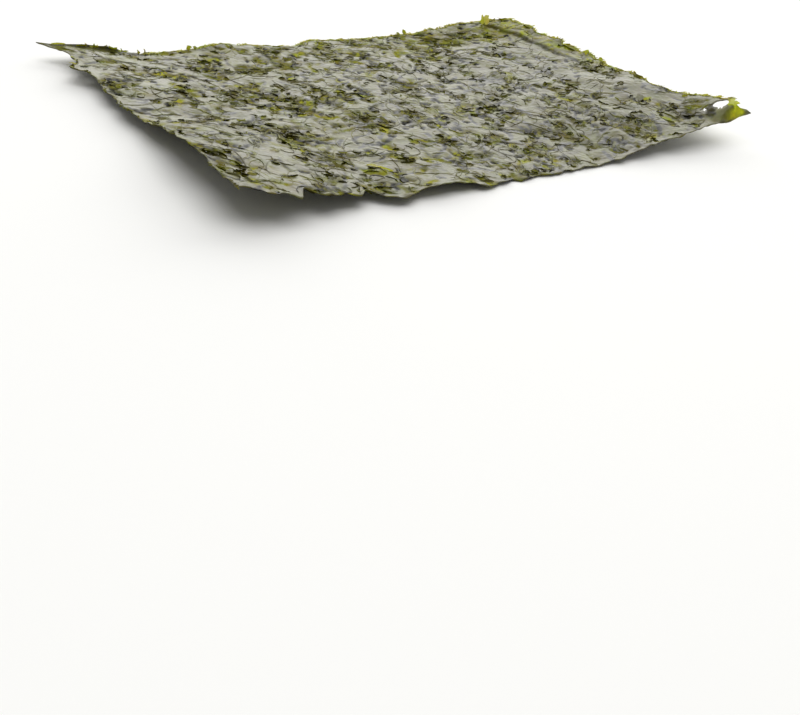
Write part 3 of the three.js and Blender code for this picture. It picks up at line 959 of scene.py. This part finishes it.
def edge_shreds(count):
    """Shreds of the edges: most at the back edge and the right one, none left at the front edge."""
    shreds = strands(count)
    edge = rng.choice(4, count, p=EDGE_SHARES)
    on_long = (edge == FRONT) | (edge == BACK)
    side = np.where((edge == FRONT) | (edge == LEFT), -1, 1)
    along = rng.uniform(-1, 1, count)
    inset = rng.uniform(-0.2, 1.2, count)
    tuft = noise(along * TUFTS_ALONG, edge * 3.0, 71) > TUFT_LEVEL
    inward = np.where(on_long, -side * math.pi / 2, np.where(side > 0, math.pi, 0))
    lying = inward + math.pi / 2 + rng.normal(0, 0.2, count)
    shreds.update(
        u=np.where(on_long, along * HALF_LENGTH, side * (HALF_LENGTH - inset)),
        v=np.where(on_long, side * (HALF_WIDTH - inset), along * HALF_WIDTH),
        angle=np.where(tuft, inward + math.pi + rng.normal(0, 0.7, count), lying),
        half_length=np.where(tuft, rng.uniform(0.7, 2.0, count), rng.uniform(1.2, 4.0, count)),
        half_width=np.where(tuft, rng.uniform(0.3, 0.9, count), rng.uniform(0.3, 0.85, count)),
        base=rng.uniform(-0.3, 0.0, count),
        climb=np.where(tuft, rng.uniform(-0.2, 0.9, count), rng.uniform(-0.2, 0.3, count)),
        ripple=np.full(count, 0.08),
        lift_left=rng.uniform(-0.2, 0.3, count), lift_right=rng.uniform(-0.2, 0.3, count),
        shade=np.clip(rng.beta(3, 1.5, count) + 0.15, 0, 1),
    )
    at_left = edge == LEFT
    shreds["shade"] = np.where(at_left, 0.35 * shreds["shade"], shreds["shade"])
    shreds["half_length"] = np.where(at_left, 0.6 * shreds["half_length"], shreds["half_length"])
    on_lip = (edge == BACK) & (lip_share(shreds["u"]) > 0.1) & (rng.random(count) < 0.85)
    at_right_tip = (edge == RIGHT) & (shreds["v"] < RIGHT_TIP_V)
    at_left_tip = (edge == BACK) & (shreds["u"] < LEFT_TIP_U)
    keep = ~on_lip & ~at_right_tip & ~at_left_tip & (edge != FRONT)
    return {key: value[keep] for key, value in shreds.items()}


shreds = edge_shreds(SHREDS)
print("edge shreds:", len(shreds["u"]))

# %% [markdown]
# A few leaves catch the eye by themselves: a flake that stands on the back edge, a pale leaf near the
# front edge, and the scraps that give the sides their outline. They could be modelled one by one. They
# are rows of a table instead, because the strips already take a place, a heading and a size, so a leaf is
# moved by one number.

# %% Leaves that stand out by themselves
LEAF_COLUMNS = ("u", "v", "angle", "half_length", "half_width", "climb", "lift_left", "blunt", "shade")
BLUNT_ENDED = 5
NAMED_LEAVES = np.array([
    # The standing flake, and the scraps of the right back corner.
    (120.4, 88.5, 0.85, 0.8, 1.6, 6.0, 0.0, 9, 0.85),
    (122.5, 86.6, 0.95, 0.8, 1.7, 5.2, 0.0, 9, 1.0),
    (134.0, 86.0, 1.6, 4.0, 1.5, 0.5, 1.2, 3, 0.55),
    (131.0, 91.0, 2.6, 3.0, 1.4, 0.4, 1.0, 3, 0.65),
    # The pale leaf near the front edge, in three lengths. The first is painted palest: its own pale yellow
    # and a painted highlight on its glossy curled end.
    (-61.4, -66.0, -1.14, 2.9, 0.9, 0.3, 0.6, 2.5, 1.5),
    (-59.3, -70.8, -1.17, 4.4, 0.8, 0.1, 0.5, 2.5, 0.85),
    (-57.4, -75.2, -1.1, 2.6, 0.6, 0.1, 0.3, 2.5, 0.6),
    # The tab of the left side.
    (-134.6, 74.0, 2.6, 1.7, 1.4, 0.8, 0.3, 3, 0.6),
    (-135.0, 70.5, 3.0, 1.6, 1.3, 0.4, 0.5, 3, 0.45),
    (-135.0, 66.5, 3.3, 1.5, 1.4, 0.9, 0.2, 3, 0.65),
    (-135.0, 63.0, 3.6, 1.8, 1.3, 0.3, 0.6, 3, 0.4),
    (-135.0, 59.0, 2.8, 1.5, 1.3, 0.8, 0.2, 3, 0.5),
    (-134.6, 55.0, 3.7, 1.6, 1.1, 0.3, 0.4, 3, 0.4),
    # The right side, from the back to the hole.
    (132.8, 62.0, 1.4, 3.5, 1.2, 0.2, 0.6, 3, 0.5),
    (133.4, 38.2, 0.8, 1.4, 1.3, 0.9, 0.3, 3, 0.8),
    (132.6, 24.0, 1.6, 5.0, 2.0, 0.3, 0.7, 3, 0.5),
    (133.8, 12.6, 0.4, 1.5, 1.3, 1.3, 0.3, 3, 0.8),
    (134.4, 1.0, 0.6, 1.4, 1.2, 1.0, 0.3, 3, 0.7),
    (134.0, -30.0, 1.5, 4.0, 1.2, 0.3, 0.9, 3, 0.5),
    (130.6, -64.6, -1.5, 1.8, 1.0, 0.3, 0.5, 3, 0.6),
    (134.2, -67.0, -1.5, 1.6, 1.0, 0.3, 0.6, 3, 0.7),
    (134.0, -72.6, -1.5, 1.8, 1.1, 0.3, 0.6, 3, 0.8),
    (134.6, -79.7, -1.5, 2.0, 1.0, 0.3, 0.6, 3, 0.9),
    (124.0, -81.2, 0.1, 2.4, 0.5, 0.1, 0.2, 3, 0.4),
    # The rim of the lip, then the tufts of the back edge.
    (-130.0, 94.8, 0.1, 1.8, 0.7, 0.4, 0.2, 3, 0.8),
    (-123.5, 94.6, 0.0, 2.2, 0.8, 0.4, 0.2, 3, 0.6),
    (-117.5, 94.4, 0.1, 1.6, 0.7, 0.5, 0.1, 3, 0.75),
    (-109.0, 94.6, 0.0, 2.4, 0.8, 0.5, 0.3, 3, 0.7),
    (-103.0, 94.4, 0.2, 1.6, 0.9, 0.6, 0.3, 3, 0.6),
    (-96.6, 94.6, 1.4, 1.2, 1.0, 1.6, 0.2, 3, 0.6),
    (-93.2, 94.8, 1.6, 0.9, 0.5, 2.2, 0.1, 3, 0.5),
    (-69.5, 94.8, 1.2, 1.3, 1.6, 1.8, 0.2, 3, 0.6),
    (-66.0, 94.8, 1.8, 1.2, 1.3, 1.0, 0.2, 3, 0.5),
    (62.5, 94.6, 1.5, 1.4, 1.2, 1.0, 0.2, 3, 0.5),
    (66.4, 94.6, 1.3, 1.5, 1.4, 2.6, 0.2, 3, 0.6),
])
named_leaves = strands(len(NAMED_LEAVES))
named_leaves.update(zip(LEAF_COLUMNS, NAMED_LEAVES.T))
named_leaves.update(base=np.full(len(NAMED_LEAVES), 0.05), ripple=np.full(len(NAMED_LEAVES), 0.06))
named_leaves.update(ragged=np.where(named_leaves["blunt"] > BLUNT_ENDED, 0.3, 0.5))
edge_fringe = strips("laver_edge_shreds", together(shreds, named_leaves), 1, SHRED_REACH)

# %% [markdown]
# Materials are small programs made of nodes. They can be drawn by hand in the shader editor, but as code
# the links between sockets are long and hard to read. So a small class wraps a socket: adding,
# multiplying or subtracting two of them makes the Math node that does it.

# %% A socket that Python operators work on
class Wire:
    """A socket of a material's node tree."""

    def __init__(self, tree, socket=None):
        self.tree, self.socket = tree, socket

    def add(self, kind, sockets=None, output=0, **settings):
        """A new node with its settings, then its sockets' values or links; gives one of its outputs."""
        node = self.tree.nodes.new(kind)
        for name, value in settings.items():
            if name == "stops":
                for stop, (position, colour) in zip(node.color_ramp.elements, value[:2]):
                    stop.position, stop.color = position, (*colour, 1)
                for position, colour in value[2:]:
                    node.color_ramp.elements.new(position).color = (*colour, 1)
            else:
                setattr(node, name, value)
        for name, value in (sockets or {}).items():
            target = next(s for s in node.inputs if s.identifier == name or s.name == name)
            if isinstance(value, Wire):
                self.tree.links.new(value.socket, target)
            else:
                target.default_value = value
        return Wire(self.tree, node.outputs[output] if node.outputs else None)

    def math(self, operation, *values):
        names = ("Value", "Value_001", "Value_002")
        return self.add("ShaderNodeMath", dict(zip(names, values)), operation=operation)

    def __add__(self, other):
        return self.math("ADD", self, other)

    def __sub__(self, other):
        return self.math("SUBTRACT", self, other)

    def __rsub__(self, other):
        return self.math("SUBTRACT", other, self)

    def __mul__(self, other):
        return self.math("MULTIPLY", self, other)

    __radd__ = __add__
    __rmul__ = __mul__

    def clamped(self):
        return self.math("MINIMUM", self.math("MAXIMUM", self, 0.0), 1.0)


def new_material(name):
    """A material with an empty node tree, and a wire to add nodes with."""
    material = bpy.data.materials.new(name)
    material.use_nodes = True
    material.node_tree.nodes.clear()
    return material, Wire(material.node_tree)


print("a socket takes + - * and clamped()")

# %% [markdown]
# Laver is a dark olive green, almost black where it is thick, and yellow-green where it is thin. Its
# smooth leaves reflect like varnished paper: seen almost edge on, the sheet mirrors the bright room
# behind it and turns grey, and every leaf edge that faces the eye drops back to dark olive. Painting that
# grey in the colour would look wrong from any other side. So the gloss comes from the shader and the
# light. The nodes give each leaf's shade, a hue that wanders a little, a dull finish where the smooth
# leaves are missing, and light that comes through where the sheet is thin.

# %% Tools for the finishes
SHADES = [
    (0.0, (0.007, 0.0065, 0.002)),
    (1.0, (0.80, 0.79, 0.30)),
    (0.17, (0.055, 0.051, 0.007)),
    (0.33, (0.11, 0.105, 0.010)),
    (0.5, (0.20, 0.195, 0.013)),
    (0.67, (0.38, 0.378, 0.018)),
    (0.85, (0.68, 0.67, 0.03)),
]
MOTTLE_SCALE, BLOTCH_SCALE, TINT_SCALE = 420.0, 75.0, 150.0
SHADE_RANGE, HUE_MIDDLE, HUE_SPREAD = 0.667, 0.501, 0.12
VECTOR_OUTPUT, VALUE_OUTPUT, OBJECT_OUTPUT = 1, 2, 3
DULL_ROUGHNESS, DULL_GLOSS = 0.7, 0.03


def attribute(wire, name, output=VALUE_OUTPUT):
    """What the piece's mesh stores under a name."""
    return wire.add("ShaderNodeAttribute", output=output, attribute_name=name)


def object_place(wire):
    """The place of a point in the piece's own axes."""
    return wire.add("ShaderNodeTexCoord", output=OBJECT_OUTPUT)


def speckled(place, scale, detail=3.0, roughness=0.5, **settings):
    """Noise from 0 to 1 over a place."""
    sockets = {"Vector": place, "Scale": scale, "Detail": detail, "Roughness": roughness}
    return place.add("ShaderNodeTexNoise", sockets, **settings)


def laver_colour(wire, place, extra=0.0):
    """The stored shade, painted shade and light included, with blotches and fine mottling, as a colour, and
    the mottling.
    """
    mottle, blotch = speckled(place, MOTTLE_SCALE), speckled(place, BLOTCH_SCALE, detail=2.0)
    tone = attribute(wire, "shade") + (mottle - 0.5) * 0.25 + (blotch - 0.5) * 0.3 + extra
    colour = wire.add("ShaderNodeValToRGB", {"Fac": (tone * SHADE_RANGE).clamped()}, stops=SHADES)
    hue = HUE_MIDDLE + (speckled(place, TINT_SCALE) - 0.5) * HUE_SPREAD
    return wire.add("ShaderNodeHueSaturation", {"Hue": hue, "Color": colour}), mottle


def leaf_surface(wire, colour, roughness, bump, through, matte=None, gloss=0.5):
    """Gloss over colour, a dull finish where `matte` is 1, and light that comes through the leaf."""
    surface = wire.add("ShaderNodeBsdfPrincipled", {
        "Base Color": colour, "Roughness": roughness, "IOR": 1.5, "Specular IOR Level": gloss,
        "Normal": bump,
    })
    if matte:
        dull = wire.add("ShaderNodeBsdfPrincipled", {
            "Base Color": colour, "Roughness": DULL_ROUGHNESS, "Specular IOR Level": DULL_GLOSS,
            "Normal": bump,
        })
        surface = wire.add("ShaderNodeMixShader", {"Fac": matte, "Shader": surface, "Shader_001": dull})
    glow = wire.add("ShaderNodeBsdfTranslucent", {"Color": colour, "Normal": bump})
    surface = wire.add("ShaderNodeMixShader", {"Fac": through, "Shader": surface, "Shader_001": glow})
    wire.add("ShaderNodeOutputMaterial", {"Surface": surface})


print("shades from dark to pale:", len(SHADES))

# %% Finish of the film
SPECKLE_SCALE, RIDGE_SCALE, RIDGE_DEPTH = 260.0, 330.0, 0.0003
film_finish, wire = new_material("laver_film_finish")
thin, matte = attribute(wire, "thin"), attribute(wire, "matte")
place = object_place(wire)
speckle = speckled(place, SPECKLE_SCALE, detail=4.0, roughness=0.6)
dull_share = (matte * 1.3 + (speckle - 0.5) * 2.6 - 0.35).clamped()
colour, mottle = laver_colour(wire, place, thin * 0.55 + dull_share * 0.33 - 0.11)
ridges = speckled(place, RIDGE_SCALE, noise_type="RIDGED_MULTIFRACTAL")
bump = wire.add("ShaderNodeBump", {"Height": ridges, "Strength": 1.0, "Distance": RIDGE_DEPTH})
leaf_surface(wire, colour, 0.24 + mottle * 0.16, bump, 0.06 + thin * 0.55, dull_share)
film.data.materials.append(film_finish)
print("nodes of the film's finish:", len(film_finish.node_tree.nodes))

# %% Finish of the flakes and strips
LEAF_GLOSS, WRINKLE_STRETCH, WRINKLE_DEPTH = 0.2, (0.12, 0.55, 1.0), 0.0008


def leaf_finish(name, roughness, through, paler=0.0):
    """A leaf with wrinkles along it. `through` is the share of light that comes through it."""
    material, wire = new_material(name)
    colour, mottle = laver_colour(wire, object_place(wire), paler)
    grain = attribute(wire, "grain", output=VECTOR_OUTPUT)
    stretched = wire.add("ShaderNodeMapping", {"Vector": grain, "Scale": WRINKLE_STRETCH})
    wrinkles = speckled(stretched, 1.0, detail=2.0)
    bump = wire.add("ShaderNodeBump", {"Height": wrinkles, "Strength": 0.8, "Distance": WRINKLE_DEPTH})
    leaf_surface(wire, colour, roughness + mottle * 0.15, bump, through, gloss=LEAF_GLOSS)
    return material


flake_finish = leaf_finish("laver_flake_finish", roughness=0.26, through=0.1)
strip_finish = leaf_finish("laver_strip_finish", roughness=0.28, through=0.2)
shred_finish = leaf_finish("laver_shred_finish", roughness=0.38, through=0.58, paler=0.5)
for piece in (upper_flakes, under_flakes):
    piece.data.materials.append(flake_finish)
for piece in (upper_strips, under_strips):
    piece.data.materials.append(strip_finish)
edge_fringe.data.materials.append(shred_finish)
print("materials:", [m.name for m in bpy.data.materials])

# %% [markdown]
# The film and its leaves are one sheet, so all of them move with the sheet's one body. The film takes the
# place of the imported model, which would show through it otherwise.

# %% The pieces belong to the sheet
pieces = (film, upper_flakes, under_flakes, upper_strips, under_strips, edge_fringe)
for piece in pieces:
    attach(piece, "root")
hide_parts(SHEET_NODE)
print("pieces of the sheet:", [piece.name for piece in pieces])

# %% [markdown]
# The sheet lies on a pale plain floor in a bright studio. A picture of a room could light it, but the
# script reads no other file, and soft lights are easier to steer. A very large, slightly warm panel
# stands far behind the sheet and is mirrored in it at this flat angle. A second light hangs above it so
# that shadows stay soft. The side of the camera is darker, so that leaf edges which face the camera stand
# out.

# %% Floor
FLOOR_SIZE, FLOOR_COLOUR = 8, (0.9, 0.9, 0.9, 1)
deselect_all()
bpy.ops.mesh.primitive_plane_add(size=FLOOR_SIZE)
floor = bpy.context.object
floor.name = "studio_floor"
paper, wire = new_material("floor_paper")
matte = wire.add("ShaderNodeBsdfPrincipled", {"Base Color": FLOOR_COLOUR, "Roughness": 0.9})
wire.add("ShaderNodeOutputMaterial", {"Surface": matte})
floor.data.materials.append(paper)
print("floor in metres:", FLOOR_SIZE, "x", FLOOR_SIZE)

# %% Light
WORLD_STRENGTH = 0.3
WARM_WHITE = (1, 0.997, 0.965)
world = bpy.data.worlds.new("studio")
bpy.context.scene.world = world
world.use_nodes = True
background = world.node_tree.nodes["Background"]
background.inputs["Color"].default_value = (1, 1, 1, 1)
background.inputs["Strength"].default_value = WORLD_STRENGTH


def soft_light(name, place, target, width, height, power):
    """An area light at one place that faces another, all in metres."""
    data = bpy.data.lights.new(name, "AREA")
    data.shape, data.size, data.size_y = "RECTANGLE", width, height
    data.energy, data.color = power, WARM_WHITE
    light = bpy.data.objects.new(name, data)
    bpy.context.scene.collection.objects.link(light)
    light.location = place
    light.rotation_euler = (Vector(target) - Vector(place)).to_track_quat("-Z", "Y").to_euler()
    light.visible_camera = False


soft_light("back_panel", place=(1.9, 2.3, 1.5), target=(0, 0, 0.6), width=6.8, height=3.0, power=148)
soft_light("top_softbox", place=(0, 0, 1.6), target=(0, 0, 0), width=2.0, height=2.0, power=20)
bpy.context.scene.view_settings.view_transform = "Standard"
